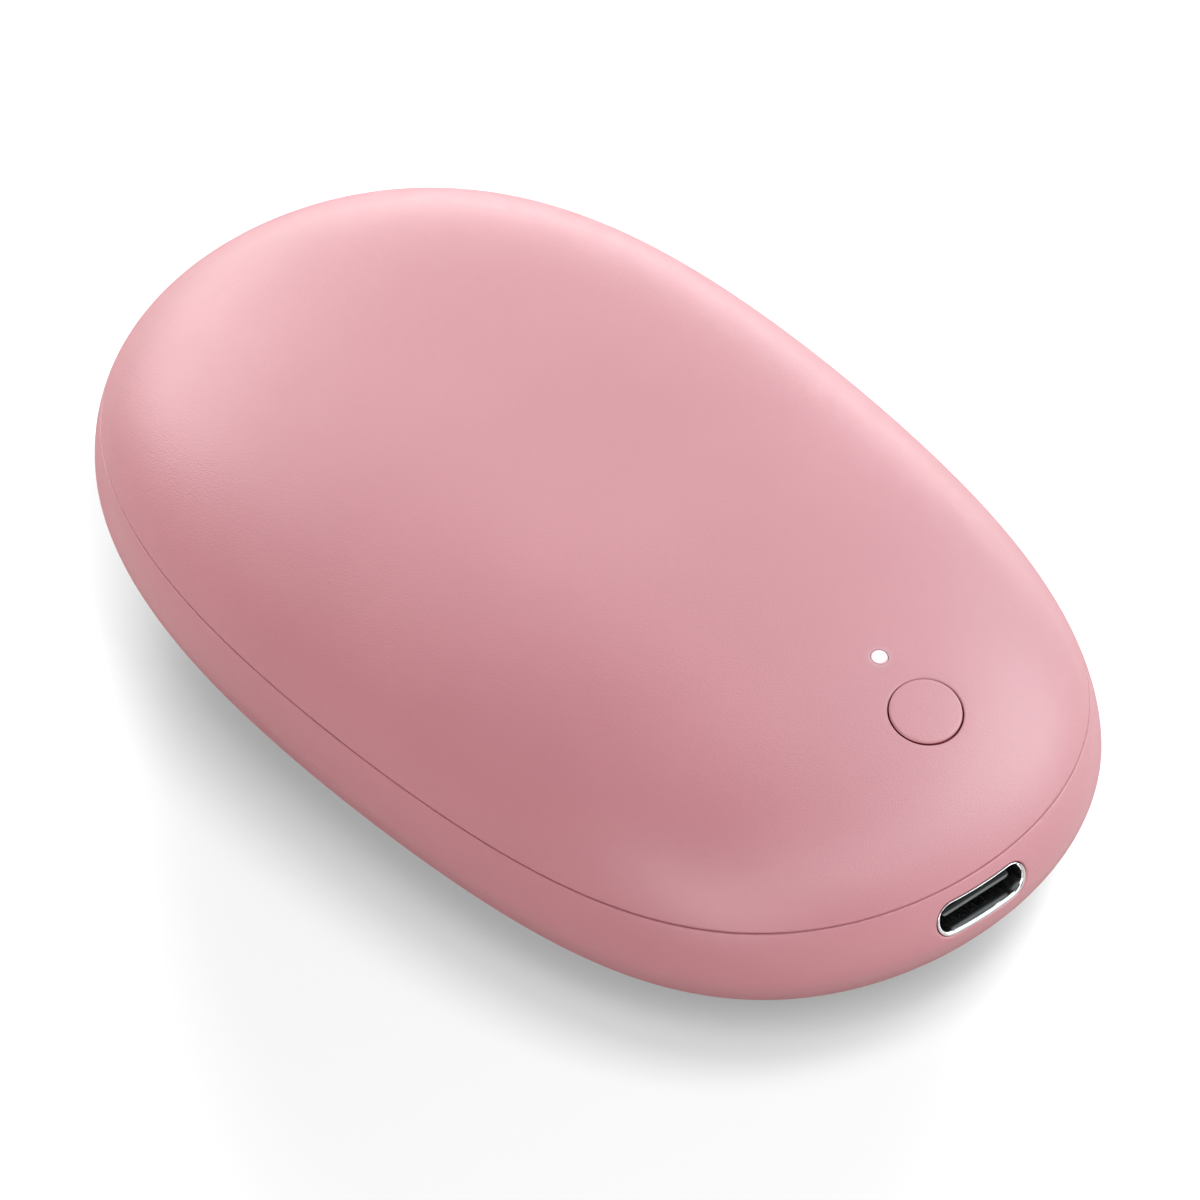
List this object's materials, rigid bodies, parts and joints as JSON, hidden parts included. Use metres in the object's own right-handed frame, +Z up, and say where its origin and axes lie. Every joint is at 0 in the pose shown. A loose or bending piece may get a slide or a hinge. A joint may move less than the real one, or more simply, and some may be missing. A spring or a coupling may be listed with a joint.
{
  "type": "rechargeable hand warmer",
  "caption": "Pebble-shaped rechargeable hand warmer with a domed heated shell, a flush power button, a status light and a USB-C charging socket.",
  "frame": {"origin": "centre of the flat underside, on the resting surface", "axes": "+X along the case towards the end with the charging socket, +Z up through the dome, +Y across the case"},
  "size_m": [0.0971, 0.0564, 0.028],
  "materials": {
    "pink_plastic": "satin moulded, fine grain",
    "pink_button": "satin moulded, fine grain",
    "light_guide": "clear moulded acrylic, lit from below",
    "bright_steel": "bright tin plated sheet",
    "black_resin": "black moulded resin",
    "gold_contact": "gold plated",
    "green_board": "glass fibre board with green lacquer",
    "lamp": "clear resin, lit",
    "dark_plastic": "black moulded plastic",
    "spring_steel": "thin stainless sheet",
    "ivory_plastic": "ivory moulded plastic",
    "ferrite": "dark grey pressed ferrite",
    "ceramic": "fired ceramic with tinned ends",
    "resistor_black": "black printed face on ceramic",
    "screw_steel": "zinc plated",
    "frame_plastic": "light grey moulded plastic",
    "cell_foil": "laminated foil pouch",
    "bond_tape": "foam tape",
    "nickel": "nickel strip",
    "red_wire": "silicone insulation",
    "black_wire": "silicone insulation",
    "white_wire": "silicone insulation",
    "plate_aluminium": "rolled sheet",
    "amber_film": "amber polyimide film",
    "track_metal": "etched resistance foil",
    "foam": "dark closed-cell foam",
    "sensor_bead": "blue epoxy bead"
  },
  "bodies": {
    "case": {"top_shell": "pink_plastic", "bottom_shell": "pink_plastic", "light_pipe": "light_guide", "usb_socket_shell": "bright_steel", "usb_socket_tongue": "black_resin", "usb_contacts": "gold_contact", "main_board": "green_board", "status_led": "lamp", "switch_housing": "dark_plastic", "switch_cover": "spring_steel", "switch_snap_dome": "spring_steel", "charge_controller": "dark_plastic", "microcontroller": "dark_plastic", "power_inductor": "ferrite", "heater_transistors": "dark_plastic", "board_capacitors": "ceramic", "board_resistors": "resistor_black", "board_screws": "screw_steel", "battery_socket": "ivory_plastic", "battery_plug": "ivory_plastic", "inner_frame": "frame_plastic", "frame_screws": "screw_steel", "lower_cell": "cell_foil", "upper_cell": "cell_foil", "cell_bond_pad": "bond_tape", "cell_tabs": "nickel", "protection_board": "green_board", "battery_lead_red": "red_wire", "battery_lead_black": "black_wire", "bottom_heat_plate": "plate_aluminium", "bottom_heater_film": "amber_film", "bottom_heater_track": "track_metal", "bottom_foam_pad": "foam", "top_heat_plate": "plate_aluminium", "top_heater_film": "amber_film", "top_heater_track": "track_metal", "top_foam_pad": "foam", "bottom_heater_leads": "white_wire", "top_heater_leads": "white_wire", "temperature_sensor": "sensor_bead", "sensor_leads": "white_wire"},
    "button": {"power_button": "pink_button", "switch_plunger": "ivory_plastic"}
  },
  "joints": [
    {"name": "button_press", "type": "slide", "parent": "case", "child": "button", "axis": [0, 0, -1], "range_m": [0, 0.0003], "stiffness_N_per_m": 2000, "deforming": ["switch_snap_dome"]}
  ]
}
